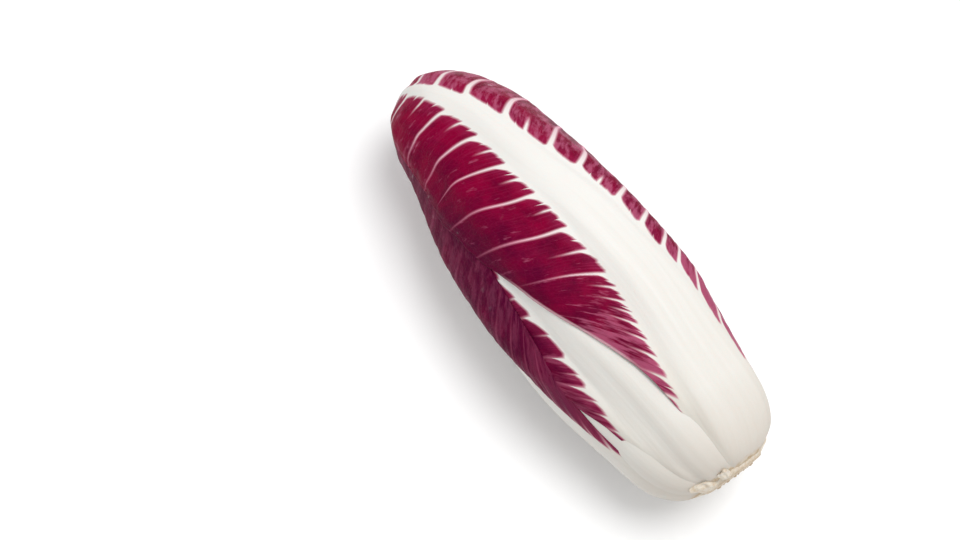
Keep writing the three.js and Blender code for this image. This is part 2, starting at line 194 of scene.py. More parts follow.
class Value:
    """A socket in a node tree. Arithmetic on it adds Math nodes."""

    def __init__(self, nodes, socket):
        self.nodes = nodes
        self.socket = socket

    def math(self, operation, *others):
        inputs = {0: self, **{i + 1: other for i, other in enumerate(others)}}
        return self.nodes.make("ShaderNodeMath", {"operation": operation}, inputs)

    def __add__(self, other):
        return self.math("ADD", other)

    def __sub__(self, other):
        return self.math("SUBTRACT", other)

    def __mul__(self, other):
        return self.math("MULTIPLY", other)

    def __truediv__(self, other):
        return self.math("DIVIDE", other)

    def __pow__(self, other):
        return self.math("POWER", other)

    def __neg__(self):
        return self * -1

    def __rsub__(self, other):
        return -self + other

    def __rtruediv__(self, other):
        return self.nodes.make("ShaderNodeMath", {"operation": "DIVIDE"}, {0: other, 1: self})

    __radd__ = __add__
    __rmul__ = __mul__

    def clamped(self):
        return self.nodes.make("ShaderNodeClamp", {}, {"Value": self})

    def at_least(self, other):
        return self.math("MAXIMUM", other)

    def absolute(self):
        return self.math("ABSOLUTE")

    def to_nearest_whole(self):
        return (self - self.math("ROUND")).absolute()

    def falls_past(self, edge, softness):
        """1 below the edge and 0 above it, with a soft change across it."""
        return ((edge - self) / softness + 0.5).clamped()

    def rises_past(self, edge, softness):
        return ((self - edge) / softness + 0.5).clamped()


class Nodes:
    """Makes the nodes of one tree."""

    def __init__(self, tree):
        self.tree = tree

    def make(self, kind, settings=None, inputs=None, out=0):
        node = self.tree.nodes.new(kind)
        for name, value in (settings or {}).items():
            setattr(node, name, value)
        for key, value in (inputs or {}).items():
            if isinstance(value, Value):
                self.tree.links.new(value.socket, node.inputs[key])
            else:
                node.inputs[key].default_value = value
        return Value(self, node.outputs[out]) if len(node.outputs) else node

    def vector(self, x=0.0, y=0.0, z=0.0):
        return self.make("ShaderNodeCombineXYZ", {}, {"X": x, "Y": y, "Z": z})

    def noise(self, place, scale, detail=2.0, roughness=0.5):
        inputs = {"Vector": place, "Scale": scale, "Detail": detail, "Roughness": roughness}
        return self.make("ShaderNodeTexNoise", {}, inputs, out="Fac")


class GrowthNodes(Nodes):
    """The nodes of a new Geometry Nodes tree, which takes a piece's mesh, the inputs that are
    given as (name, kind, default value) and a material, and gives back one dressed mesh."""

    def __init__(self, name, inputs):
        super().__init__(bpy.data.node_groups.new(name, "GeometryNodeTree"))
        self.tree.is_modifier = True
        self.socket("Geometry", "INPUT", "Geometry")
        for label, kind, value in inputs:
            self.socket(label, "INPUT", kind).default_value = value
        self.socket("Material", "INPUT", "Material")
        self.socket("Geometry", "OUTPUT", "Geometry")
        start = self.tree.nodes.new("NodeGroupInput")
        self.given = {plug.name: Value(self, plug) for plug in start.outputs if plug.name}

    def socket(self, name, way, kind):
        return self.tree.interface.new_socket(name, in_out=way, socket_type=f"NodeSocket{kind}")

    def finish(self, geometry):
        smooth = self.make("GeometryNodeSetShadeSmooth", {}, {"Geometry": geometry})
        whole = self.make("GeometryNodeRealizeInstances", {}, {"Geometry": smooth})
        inputs = {"Geometry": whole, "Material": self.given["Material"]}
        dressed = self.make("GeometryNodeSetMaterial", {}, inputs)
        end = self.tree.nodes.new("NodeGroupOutput")
        self.tree.links.new(dressed.socket, end.inputs[0])
        return self.tree


class ShaderNodes(Nodes):
    """A new material's nodes, with the ones that every finish here needs."""

    def __init__(self, name):
        self.material = bpy.data.materials.new(name)
        self.material.use_nodes = True
        super().__init__(self.material.node_tree)
        self.tree.nodes.clear()

    def attribute(self, name):
        return self.make("ShaderNodeAttribute", {"attribute_name": name}, out="Fac")

    def blend(self, share, a, b):
        """A colour that is a where share is 0 and b where it is 1."""
        return self.make("ShaderNodeMix", {"data_type": "RGBA"}, {0: share, 6: a, 7: b}, out=2)

    def finish(self, inputs, **bump):
        if bump:
            inputs["Normal"] = self.make("ShaderNodeBump", {}, bump)
        shader = self.make("ShaderNodeBsdfPrincipled", {}, inputs, out="BSDF")
        self.make("ShaderNodeOutputMaterial", {}, {"Surface": shader})
        return self.material


def opaque(red, green, blue):
    return (red, green, blue, 1)


# ---------------------------------------------------------------- the outline and its places


def through(knots, t):
    """A smooth line through knots of [t, value], read at t."""
    places, values = np.array(knots, float).T
    t = np.clip(t, places[0], places[-1])
    slopes = np.empty_like(values)
    slopes[1:-1] = (values[2:] - values[:-2]) / (places[2:] - places[:-2])
    slopes[0] = (values[1] - values[0]) / (places[1] - places[0])
    slopes[-1] = (values[-1] - values[-2]) / (places[-1] - places[-2])
    i = np.clip(np.searchsorted(places, t, "right") - 1, 0, len(places) - 2)
    span = places[i + 1] - places[i]
    k = (t - places[i]) / span
    bend = k * k * (3 - 2 * k)
    leaving = k * (1 - k) ** 2 * span * slopes[i]
    arriving = k * k * (k - 1) * span * slopes[i + 1]
    return values[i] + (values[i + 1] - values[i]) * bend + leaving + arriving


def smoothstep(start, end, t):
    k = np.clip((t - start) / (end - start), 0, 1)
    return k * k * (3 - 2 * k)


def ring(phi):
    """The outline's station and radius at phi, and the way that heights run there."""
    front = phi > 0
    x = GIRTH_STATION + np.where(front, NOSE_LENGTH, GIRTH_STATION) * np.sin(phi)
    swell = np.where(front, GIRTH_RADIUS, GIRTH_RADIUS - RIM_RADIUS)
    r = np.where(front, 0, RIM_RADIUS) + swell * np.cos(phi)
    out_x = np.where(front, GIRTH_RADIUS * np.sin(phi), 0)
    out_r = np.where(front, NOSE_LENGTH * np.cos(phi), 1)
    size = np.hypot(out_x, out_r)
    return x, r, out_x / size, out_r / size


def outward_at(phi, theta):
    _, _, out_x, out_r = ring(phi)
    return np.stack([-out_x, out_r * np.sin(theta), out_r * np.cos(theta)], -1)


def point_at(phi, theta, height=0.0):
    x, r, out_x, out_r = ring(phi)
    radius = r + height * out_r
    along = GIRTH_STATION - x - height * out_x
    return np.stack([along, radius * np.sin(theta), radius * np.cos(theta)], -1)


def angles_of(point):
    """The phi and theta of points that lie close to the outline."""
    x = GIRTH_STATION - point[..., 0]
    r = np.hypot(point[..., 1], point[..., 2])
    ahead = x - GIRTH_STATION
    front = np.arctan2(ahead / NOSE_LENGTH, r / GIRTH_RADIUS)
    up = np.maximum((r - RIM_RADIUS) / (GIRTH_RADIUS - RIM_RADIUS), 0)
    back = -np.arctan2(-ahead / GIRTH_STATION, up)
    return np.where(ahead >= 0, front, back), np.arctan2(point[..., 1], point[..., 2])


def unit(vector):
    return vector / np.linalg.norm(vector, axis=-1, keepdims=True)


def walk(point, heading, distance):
    """A step on the outline that ends on it, heading as straight on as it can."""
    phi, theta = angles_of(point + heading * distance)
    outward = outward_at(phi, theta)
    onward = unit(heading - outward * (heading * outward).sum(-1, keepdims=True))
    return point_at(phi, theta), onward, phi, theta


def midrib(azimuth, start, reach):
    """Points and headings a millimetre apart, from the leaf's base over the nose."""
    phi = np.array(math.asin(start / GIRTH_STATION - 1))
    point = point_at(phi, azimuth)
    nose = point_at(np.array(math.pi / 2), 0.0)
    points, headings = [], []
    heading = None
    left = math.inf
    while left > 0:
        x, r, _, _ = ring(phi)
        theta = math.atan2(point[1], point[2])
        if x < TWIST_ENDS and left == math.inf:
            ahead = unit(point_at(phi + 0.2 * DEGREE, theta) - point)
            swing = -TWIST * DEGREE * 2 * x / HEAD_LENGTH**2 * r
            heading = unit(ahead + swing * np.array([0, math.cos(theta), -math.sin(theta)]))
        points.append(point)
        headings.append(heading)
        if left == math.inf and x > TWIST_ENDS and np.linalg.norm(point - nose) < NOSE_NEAR:
            left = NOSE_NEAR + reach
        left -= 1
        point, heading, phi, theta = walk(point, heading, 1)
    return np.array(points), np.array(headings)


# ---------------------------------------------------------------- leaves


def blurred(heights, reach):
    """A grid with each height made the mean of those up to reach places away along and across."""
    for axis in (0, 1):
        pad = [(reach + 1, reach) if a == axis else (0, 0) for a in (0, 1)]
        sums = np.cumsum(np.pad(heights, pad, "edge"), axis)
        low = np.take(sums, range(heights.shape[axis]), axis)
        high = np.take(sums, range(2 * reach + 1, heights.shape[axis] + 2 * reach + 1), axis)
        heights = (high - low) / (2 * reach + 1)
    return heights


def wavering(random, count, scale):
    """A smooth random line of count values round 0, with a knot every scale values."""
    knots = random.normal(0, 1, int(count / scale) + 4)
    places = np.arange(count) / scale
    i = places.astype(int)
    k = places - i
    a, b, c, d = (knots[i + n] for n in range(4))
    bend = (-a + 3 * b - 3 * c + d) * k + (2 * a - 5 * b + 4 * c - d)
    return b + 0.5 * k * (c - a + k * bend)


class Leaf:
    """A leaf's net on the outline: row by row from its base, and across from margin to margin."""

    def __init__(
        self,
        index,
        nudge,
        start,
        reach,
        rows,
        half,
        breadth=1.0,
        sway=0.0,
        white=1.0,
        spread=1.0,
        **look,
    ):
        self.name = f"leaf_{index + 1}"
        self.index = index
        self.spread = spread
        self.look = {**DEFAULT_LOOK, **look, "dried": float(start < DRIED_START)}
        self.random = np.random.default_rng(20 + index)
        azimuth = (FIRST_AZIMUTH - GOLDEN_ANGLE * index + nudge + ROLL) * DEGREE
        points, headings = midrib(azimuth, start, reach)
        self.length = len(points) - 1
        steps = self.length * np.linspace(0, 1, rows) ** ROW_CROWDING
        every = np.arange(self.length + 1)
        points, headings = (
            np.stack([np.interp(steps, every, line[:, a]) for a in range(3)], -1)
            for line in (points, headings)
        )
        phi, theta = angles_of(points)
        headings = unit(headings)
        share = steps / self.length
        width = through(HALF_WIDTH, share) * breadth
        columns = 2 * half + 1
        self.phi = np.empty((rows, columns))
        self.theta = np.empty((rows, columns))
        self.across = np.zeros((rows, columns))
        self.phi[:, half], self.theta[:, half] = phi, theta
        straight = smoothstep(0, 40 * DEGREE, phi)[:, None]
        for side in (-1, 1):
            waver = sum(size * wavering(self.random, rows, bend) for size, bend in WAVER)
            reach_out = width * (1 + waver * smoothstep(0.35, 0.7, share))
            point, p, t = point_at(phi, theta), phi, theta
            heading = side * unit(np.cross(headings, outward_at(phi, theta)))
            for k in range(1, half + 1):
                round_it = side * np.stack([0 * t, np.cos(t), -np.sin(t)], -1)
                way = unit(round_it * (1 - straight) + heading * straight)
                point, heading, p, t = walk(point, way, (reach_out / half)[:, None])
                column = half + side * k
                self.phi[:, column], self.theta[:, column] = p, t
                self.across[:, column] = side * k / half * reach_out
        self.share = np.broadcast_to(share[:, None], self.across.shape)
        self.along = self.share * self.length
        edges = np.where(self.across > 0, self.across[:, [-1]], -self.across[:, [0]])
        self.margin = edges - np.abs(self.across)
        self.from_rib = self.across - sway * through(SWAY, self.share)
        self.white = white * through(WHITE_HALF_WIDTH, self.share)
        self.white -= sway * through(RIGHT_INSET, self.share) * (self.from_rib > 0)

    def drape(self, pile):
        """Lays the leaf on the pile, bridging the small hollows as a stiff leaf does."""
        support = pile.heights(self.phi, self.theta) + LEAF_GAP
        self.inside = support
        for _ in range(6):
            self.inside = np.maximum(support, blurred(self.inside, 3))
        halfway = np.clip(np.abs(self.from_rib) / through(RIB_HALF_WIDTH, self.share), 0, 1)
        blade = np.maximum(BLADE_THICKNESS * smoothstep(-1, 5, self.margin), EDGE_THICKNESS)
        rib = through(RIB_THICKNESS, self.share)
        whole = blade + np.maximum(rib - blade, 0) * (1 - halfway**2) ** 1.3
        rounded = np.clip(self.along / CUT_ROUND, 0, 1)
        end = np.sqrt(rounded * (2 - rounded))
        self.thickness = whole * (END_THICKNESS + (1 - END_THICKNESS) * end)
        stiff = np.clip((whole - SUPPLE) / (STIFF - SUPPLE), 0, 1)
        self.inside += stiff * (blurred(blurred(self.inside, 6), 6) - self.inside)
        lift = wavering(self.random, len(self.phi), 24)[:, None] * 0.5 + 0.5
        fray = np.exp(-((self.margin / 7) ** 2)) * smoothstep(0.3, 0.6, self.share)
        self.inside += FRAY * fray * np.clip(lift, 0, 1.5)
        seated = smoothstep(0.42, 0.2, self.share) * smoothstep(9, 3, self.margin)
        self.inside += (blurred(support, 1) - self.inside) * seated
        beside_crown = smoothstep(0.18, 0.08, self.share) * np.clip(1 - self.margin / 12, 0, 1) ** 2
        lower_margin = smoothstep(0.5, 0.3, self.share) * np.clip(1 - self.margin / 4, 0, 1)
        self.inside -= CROWN_SINK * beside_crown + MARGIN_SINK * lower_margin
        pile.add(self)


class Pile:
    """What is in place so far: the core's formula and the outer faces of the leaves on it."""

    REACH = 16

    def __init__(self):
        self.trees = []

    def heights(self, phi, theta):
        heights = core_height(phi, theta)
        away = outward_at(phi, theta).reshape(-1, 3)
        start = point_at(phi, theta, self.REACH).reshape(-1, 3)
        flat = heights.reshape(-1)
        for tree in self.trees:
            for i, (origin, way) in enumerate(zip(start.tolist(), (-away).tolist())):
                distance = tree.ray_cast(Vector(origin), Vector(way), 2 * self.REACH)[3]
                if distance is not None:
                    flat[i] = max(flat[i], self.REACH - distance)
        return flat.reshape(phi.shape)

    def add(self, leaf):
        outer = point_at(leaf.phi, leaf.theta, leaf.inside + leaf.thickness)
        rows, columns = leaf.phi.shape
        self.trees.append(
            BVHTree.FromPolygons(outer.reshape(-1, 3).tolist(), grid_quads(rows, columns).tolist())
        )


def core_height(phi, theta):
    turn = (theta / DEGREE - LAP_TWIST * phi / DEGREE) / (360 / LAPS)
    part = turn - np.floor(turn)
    lap = np.where(part < LAP_EDGE, part / LAP_EDGE, (1 - part) / (1 - LAP_EDGE))
    padding = through(CORE_PADDING, phi / DEGREE)
    return through(CORE_HEIGHT, phi / DEGREE) + padding + LAP_STEP * lap * np.cos(phi)


# ---------------------------------------------------------------- from the outline to the frame

stem_low, stem_high = (np.array(corner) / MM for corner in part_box("stem"))
AXIS = np.array(
    [
        stem_high[0] - GIRTH_STATION - STEM_PROUD,
        (stem_low[1] + stem_high[1]) / 2,
        (stem_low[2] + stem_high[2]) / 2,
    ]
)


def placed(points):
    """Points about the head's own axis, in the frame, with the underside pressed in."""
    x, y, z = np.moveaxis(points, -1, 0)
    along = 2 * (x - PRESSED["x"]) / PRESSED["length"]
    across = 2 * (y - PRESSED["y"]) / PRESSED["width"]
    above = z + AXIS[2] + PRESSED["depth"]
    inward = np.clip(1 - above / PRESSED["height"], 0, 1)
    rise = PRESSED["depth"] * np.clip(1 - along**2 - across**2, 0, 1) ** 1.5 * inward
    in_frame = points + AXIS
    lean = math.tan(CUT_SLANT * DEGREE) * smoothstep(SLANT_STARTS, 90, x)
    in_frame[..., 0] += lean * (z - RIM_RADIUS) + BASE_REACH * smoothstep(BASE_STARTS, 92, x)
    in_frame[..., 1] += through(BOW, x)
    in_frame[..., 2] = np.maximum(z * TALLER + AXIS[2] + rise, 0) + FLOOR_CLEARANCE
    return in_frame * MM


# ---------------------------------------------------------------- meshes


def grid_quads(rows, columns):
    """The quads of a net of points that is listed row by row."""
    at = np.arange(rows * columns).reshape(rows, columns)
    corners = [at[:-1, :-1], at[:-1, 1:], at[1:, 1:], at[1:, :-1]]
    return np.stack([corner.ravel() for corner in corners], -1)


def rim_walls(at, lift):
    """Quads that join the rim of a grid to the rim of its copy, lift places further on."""
    rim = np.concatenate([at[0, :-1], at[:-1, -1], at[-1, :0:-1], at[:0:-1, 0]])
    return np.stack([rim, np.roll(rim, -1), np.roll(rim, -1) + lift, rim + lift], -1)


def closed_ring_faces(rows, sides):
    """Quads between rings of points, and a fan to a point past each end ring."""
    at = np.arange(rows * sides).reshape(rows, sides)
    corners = [at[:-1], np.roll(at[:-1], -1, 1), np.roll(at[1:], -1, 1), at[1:]]
    faces = np.stack([corner.ravel() for corner in corners], -1).tolist()
    first, last = rows * sides, rows * sides + 1
    faces += [[first, b, a] for a, b in zip(at[0].tolist(), np.roll(at[0], -1).tolist())]
    faces += [[last, a, b] for a, b in zip(at[-1].tolist(), np.roll(at[-1], -1).tolist())]
    return faces


def mesh_object(name, points, faces, attributes=None):
    mesh = bpy.data.meshes.new(name)
    mesh.from_pydata(points.reshape(-1, 3).tolist(), [], [list(map(int, face)) for face in faces])
    for key, values in (attributes or {}).items():
        vector = values.ndim == 2
        layer = mesh.attributes.new(key, "FLOAT_VECTOR" if vector else "FLOAT", "POINT")
        layer.data.foreach_set("vector" if vector else "value", values.astype(np.float32).ravel())
    mesh.update()
    piece = bpy.data.objects.new(name, mesh)
    bpy.context.collection.objects.link(piece)
    return piece


# ---------------------------------------------------------------- veins

# The lateral veins of the outermost leaf leave its midrib at these distances from its base, and
# each has a strength from 0 to 1. The other leaves' veins follow a rule.
OUTER_LEAF_VEINS = {
    -1: [
        [-5, 0.35], [5, 0.35], [18, 0.35], [29, 0.3], [40, 0.4], [48, 0.25], [55, 0.4], [64, 0.35],
        [71.5, 0.85], [85, 0.5], [97.5, 1], [109, 0.25], [119, 1], [130, 0.25], [139, 1],
        [149, 0.25], [158, 1], [168, 0.25], [177, 0.95], [190, 0.3], [203, 0.9],
    ],
    1: [
        [3, 0.8], [20, 1], [40, 1.1], [58, 1.2], [69.5, 1.2], [83.5, 1.3], [98.5, 1.3], [109, 0.2],
        [120, 1.4], [135, 1.3], [147, 0.4], [156.5, 1.3], [176, 1.2], [191, 1.1], [203, 0.5],
    ],
}
# How many millimetres a vein runs along the leaf for each one out from the midrib, by the share
# of the leaf's length that it starts at, and how far it first runs on beside the midrib
VEIN_LEAN = [
    [0, 1.6], [0.1, 1.4], [0.2, 1.05], [0.28, 0.76], [0.36, 0.57], [0.45, 0.5], [0.6, 0.46], [1, 0.55],
]
VEIN_SWING = 2.5
VEIN_WANDER = 0.8  # millimetres that a vein strays from its line as it runs out


def vein_origins(leaf, side):
    if leaf.index == 0:
        return np.array(OUTER_LEAF_VEINS[side], float).T
    random = np.random.default_rng(300 + 10 * leaf.index + side)
    places, strengths, place = [], [], 26 + random.uniform(0, 8)
    while place < leaf.length:
        gap = leaf.spread * random.uniform(14, 20) * (1.05 - 0.25 * place / leaf.length)
        places += [place, place + gap * random.uniform(0.42, 0.6)]
        strengths += [random.uniform(0.85, 1.1), random.uniform(0.2, 0.4)]
        place += gap
    return np.array(places), np.array(strengths)


def vein_origin(leaf):
    """Where along the midrib a vein through each place on the leaf starts. The lean depends on
    the start itself, so it is found step by step, halfway to the last finding each time."""
    out = np.abs(leaf.from_rib)
    origin = leaf.along - 0.5 * out
    for _ in range(24):
        lean = through(VEIN_LEAN, np.clip(origin / leaf.length, 0, 1))
        found = leaf.along - lean * out - VEIN_SWING * (1 - np.exp(-out / 6))
        origin = 0.5 * origin + 0.5 * found
    return origin + VEIN_WANDER * np.sin(leaf.along / 11 + out / 7 + 2 * leaf.index)


def vein_fields(leaf):
    """For each place on a leaf: how far it is past the white, the vein line there (whole numbers
    are on a vein and grow towards the tip), how far apart the veins are, how strong the nearest
    one is, and how strong the next one up is."""
    origin = vein_origin(leaf)
    line, pitch, strength, notch = (np.zeros_like(origin) for _ in range(4))
    for side in (-1, 1):
        here = leaf.from_rib >= 0 if side > 0 else leaf.from_rib < 0
        places, strengths = vein_origins(leaf, side)
        before, after = places[0] + np.arange(-70, 0, 10), places[-1] + np.array([9, 18, 27])
        places = np.concatenate([before, places, after])
        strengths = np.concatenate([np.full(len(before), 0.3), strengths, np.full(len(after), 0.5)])
        lines = np.interp(origin, places, np.arange(len(places)))
        line[here] = lines[here]
        pitch[here] = np.interp(origin, (places[1:] + places[:-1]) / 2, np.diff(places))[here]
        strength[here] = strengths[np.round(lines).astype(int)][here]
        notch[here] = strengths[np.minimum(lines.astype(int) + 1, len(places) - 1)][here]
    lean = through(VEIN_LEAN, np.clip(origin / leaf.length, 0, 1))
    return {
        "beyond": np.abs(leaf.from_rib) - leaf.white,
        "origin": origin,
        "line": line,
        "pitch": pitch / np.sqrt(1 + lean**2),
        "strength": strength,
        "notch": notch,
    }


# ---------------------------------------------------------------- leaf bodies


def leaf_relief_tree():
    """Raises the outer face of a leaf: its thickness, the swell of the blade between veins,
    the veins themselves, the ridges of its petiole, and a slow unevenness."""
    inputs = {
        "Vein height": 0.4,
        "Vein width": 1.1,
        "Blade swell": 0.5,
        "Unevenness": 0.5,
        "Petiole ridges": PETIOLE_RIDGES,
        "Seed": 1.0,
    }
    nodes = GrowthNodes("leaf_relief", [(name, "Float", value) for name, value in inputs.items()])
    given = nodes.given

    def named(name, kind="FLOAT"):
        inputs = {"Name": name}
        return nodes.make("GeometryNodeInputNamedAttribute", {"data_type": kind}, inputs)

    beyond, line, pitch = named("beyond"), named("line"), named("pitch")
    across, along, strength = named("across"), named("along"), named("strength")
    from_vein = line.to_nearest_whole() * pitch
    carried = (1 - beyond / (4 + strength**2 * 42)).clamped() * beyond.rises_past(1, 6)
    ridge = (-((from_vein / given["Vein width"]) ** 2)).math("EXPONENT") * carried * strength
    past_white = beyond.rises_past(2, 8)
    swell = (line.to_nearest_whole() * 2).clamped() ** 0.7 * past_white
    slow = nodes.noise(nodes.vector(across / 22, along / 30, given["Seed"]), 1.0, 3.0)
    ridges = nodes.noise(nodes.vector(across / 12, along / 140, given["Seed"] + 5), 1.0, 1.0)
    settled = (named("margin") / 8).clamped()
    height = (
        named("thickness")
        + ridge * given["Vein height"]
        + swell * given["Blade swell"] * (1 - beyond / 50).clamped()
        + (slow - 0.5) * given["Unevenness"] * settled
        + (ridges - 0.5) * given["Petiole ridges"] * beyond.falls_past(-1, 8) * settled
    )
    raised = nodes.make(
        "ShaderNodeVectorMath",
        {"operation": "SCALE"},
        {0: named("outward", "FLOAT_VECTOR"), "Scale": height * named("outer") * MM},
    )
    inputs = {"Geometry": given["Geometry"], "Offset": raised}
    return nodes.finish(nodes.make("GeometryNodeSetPosition", {}, inputs))


def grown(piece, tree, inputs):
    """The piece with a Geometry Nodes tree run on it, as a plain mesh."""
    modifier = piece.modifiers.new(tree.name, "NODES")
    modifier.node_group = tree
    for item in tree.interface.items_tree:
        if item.in_out == "INPUT" and item.name in inputs:
            modifier[item.identifier] = inputs[item.name]
    evaluated = piece.evaluated_get(bpy.context.evaluated_depsgraph_get())
    mesh = bpy.data.meshes.new_from_object(evaluated)
    old = piece.data
    piece.modifiers.clear()
    piece.data = mesh
    mesh.name = piece.name
    bpy.data.meshes.remove(old)
    return piece


def leaf_object(leaf, tree, finish):
    """The leaf as one closed skin. Its outer face starts flat on its inner face and the tree
    raises it."""
    rows, columns = leaf.phi.shape
    inner = placed(point_at(leaf.phi, leaf.theta, leaf.inside))
    count = rows * columns
    top = grid_quads(rows, columns)
    walls = rim_walls(np.arange(count).reshape(rows, columns), count)[:, ::-1]
    fields = vein_fields(leaf) | {
        "thickness": leaf.thickness,
        "across": leaf.from_rib,
        "along": leaf.along,
        "share": leaf.share,
        "margin": leaf.margin,
    }
    attributes = {key: np.tile(value.ravel(), 2) for key, value in fields.items()}
    attributes["outer"] = np.repeat([1.0, 0.0], count)
    outward = outward_at(leaf.phi, leaf.theta).reshape(-1, 3)
    attributes["outward"] = np.tile(outward, (2, 1))
    faces = np.concatenate([top, top[:, ::-1] + count, walls])
    piece = mesh_object(
        f"{leaf.name}_blade", np.tile(inner.reshape(-1, 3), (2, 1)), faces, attributes
    )
    ridges = PETIOLE_RIDGES if leaf.index < OUTER_LEAVES else BURIED_RIDGES
    return grown(piece, tree, {"Seed": 3.7 * leaf.index, "Petiole ridges": ridges, "Material": finish})


# ---------------------------------------------------------------- finishes

# Leaf blades from dark to light, the white flesh, and what is dry
DEEP = opaque(0.11, 0.0002, 0.019)
CRIMSON = opaque(0.215, 0.0002, 0.027)
# plum: partly the blade's own darker tone, partly the colour of painted shade and reflection
PLUM = opaque(0.072, 0.0012, 0.024)
ROSE = opaque(0.30, 0.022, 0.08)
# pale pink of the blade's own flecks, and of painted sheen
FLECK_AND_SHEEN_PINK = opaque(0.40, 0.09, 0.17)
# pale pink of a narrow leaf rim, and of a painted highlight along it
RIM_HIGHLIGHT_PINK = opaque(0.55, 0.34, 0.38)
EDGING = opaque(0.52, 0.10, 0.20)
PALE = opaque(0.64, 0.32, 0.40)
IVORY = opaque(0.71, 0.695, 0.665)
CREAM = opaque(0.60, 0.57, 0.515)
FOOT = opaque(0.49, 0.435, 0.38)
TAN = opaque(0.42, 0.31, 0.20)
STRAW = opaque(0.60, 0.51, 0.39)

HEART_DEEP = opaque(0.07, 0.002, 0.02)
HEART_RED = opaque(0.19, 0.004, 0.036)
HEART_WHITE = opaque(0.67, 0.64, 0.57)

PITH_DARK = opaque(0.56, 0.44, 0.30)
PITH_PALE = opaque(0.68, 0.60, 0.48)
CUT_BROWN = opaque(0.35, 0.23, 0.13)
STUMP_CREAM = opaque(0.68, 0.62, 0.53)
STUMP_TAN = opaque(0.58, 0.47, 0.34)
DRY_EDGE = opaque(0.41, 0.29, 0.17)


class LeafPlace:
    """A spot on a leaf, as sockets: what its mesh says of it, and noises that run with it."""

    FIELDS = "beyond line pitch strength notch origin across along share margin"

    def __init__(self, n, seed):
        for name in self.FIELDS.split():
            setattr(self, name, n.attribute(name))
        self.n = n
        self.seed = seed
        self.side = self.across.math("SIGN")
        self.right = self.side.at_least(0)
        self.upper = self.line.math("FRACT")  # from 0 at the vein below to 1 at the one above
        self.low = self.share.falls_past(0.33, 0.1)
        self.streaks = self.vein_noise(2.6, 22, 0, 1.0)
        self.hairs = self.vein_noise(0.9, 22, 3, 1.5)
        self.coarse = self.vein_noise(6, 20, 5, 1.0)
        self.mottle = self.noise(9, 13, 0, 4.0, 0.6)
        self.ribbing = self.noise(3, 80, 2, 3.0)

    def noise(self, wide, long, shift, detail, roughness=0.5):
        """A noise in blotches of about these millimetres across the leaf and along it."""
        place = self.n.vector(self.across / wide, self.along / long, self.seed + shift)
        return self.n.noise(place, 1.0, detail, roughness)

    def vein_noise(self, wide, long, shift, detail):
        """A noise in streaks of about these millimetres that run out beside the veins."""
        place = self.n.vector(self.origin / wide, self.across / long, self.side + (self.seed + shift))
        return self.n.noise(place, 1.0, detail)


def within_blade(at, veins, lobes, fingers, saw, blunt):
    """How far in from the edge of the blade a place is. Between two veins the blade reaches in
    towards the rib as a lobe that is longest beside the lower vein, with teeth along its edge."""
    upper, pitch, right, low = at.upper, at.pitch, at.right, at.low
    wedge = (-((1 - upper) * pitch / 1.8)).math("EXPONENT") * (3.4 + low * 4) + upper * saw
    tip = 0.9 * blunt + right * 0.6
    rounding = (-((upper * pitch / tip) ** 2)).math("EXPONENT") * at.strength
    notch = at.notch + (at.strength - at.notch) * upper.rises_past(0.75, 0.1)
    gap = (at.line * fingers + (at.coarse - 0.5) * upper * (1 - upper) * 4).math("FRACT")
    gap = (-((1 - gap) * pitch / (fingers * 0.6))).math("EXPONENT") * (at.coarse * 8 - 2.5).at_least(0)
    lobe = notch * wedge + rounding * (1.5 * blunt + right * 1.5) + gap
    ragged = (at.streaks - 0.5) * (1.1 + low) + (at.hairs - 0.5) * (0.35 + low * 0.4)
    narrowing = (at.share.falls_past(0.86, 0.3) * 0.7 + 0.3) * (1 - right * 0.4)
    return at.beyond - (lobe + ragged * (0.5 + veins * 0.5)) * narrowing * lobes


def rib_and_veins(at, within, flare, veins):
    """1 on the white rib and the white side veins, and 0 on the blade."""
    carried = (1 - at.beyond / (6 + at.strength * at.strength * 36)).clamped()
    half_width = (flare * 0.45 + 0.2 + at.strength * 0.4 + at.right * 0.25) * carried**0.4
    from_vein = at.line.to_nearest_whole() * at.pitch
    vein = from_vein.falls_past(half_width, 1.1) * (carried * 1.6).clamped()
    return within.falls_past(0.2, 1.4).at_least(vein * (veins + (1 - veins) * flare))


def blade_colour(n, at, within, flare, purple_shade_and_reflection):
    """Burgundy that is painted plum as shade and reflection by the leaf's purple strength and
    towards its margins, and plum at random too; rose beside the rib and the veins; and pale
    pink in patches, partly the leaf's own flecks and partly painted sheen near its foot, on its
    right half and near its tip."""
    blade = n.blend((at.mottle + (at.share - 0.5) * 0.35).rises_past(0.5, 0.3), DEEP, CRIMSON)
    # painted shade: plum towards the margins of the upper blade, where it curves away from the light
    margin_shade = (1 - at.margin / 26).clamped() * at.share.rises_past(0.4, 0.2)
    margin_shade = margin_shade * at.share.falls_past(0.8, 0.3) * (1 - purple_shade_and_reflection) * 0.8
    # painted shade and reflection: the blade turns plum by the leaf's purple strength and the margin
    # shade, and at random by the coarse noise
    blade = n.blend((purple_shade_and_reflection + margin_shade + (at.coarse - 0.5) * 0.5).clamped(), blade, PLUM)
    edging = (1 - within / 5).clamped() * 0.4 + at.hairs.rises_past(0.58, 0.15) * flare * 0.5
    blade = n.blend(edging.clamped(), blade, ROSE)
    # pale pink patches: the leaf's own flecks, and painted sheen that is stronger near its foot, on
    # its right half and near its tip
    pale_patch_noise = n.noise(n.vector(at.origin / 4, at.across / 9, at.seed + 7), 1.0, 3.0, 0.65)
    pale_flecks_and_sheen = at.low * 0.2 + at.share.rises_past(0.85, 0.2) * 0.09 + at.right * 0.14
    pale_flecks_and_sheen = (pale_patch_noise + pale_flecks_and_sheen).rises_past(0.68, 0.14) * (1 - purple_shade_and_reflection) * 0.7
    return n.blend(pale_flecks_and_sheen.clamped(), blade, FLECK_AND_SHEEN_PINK)


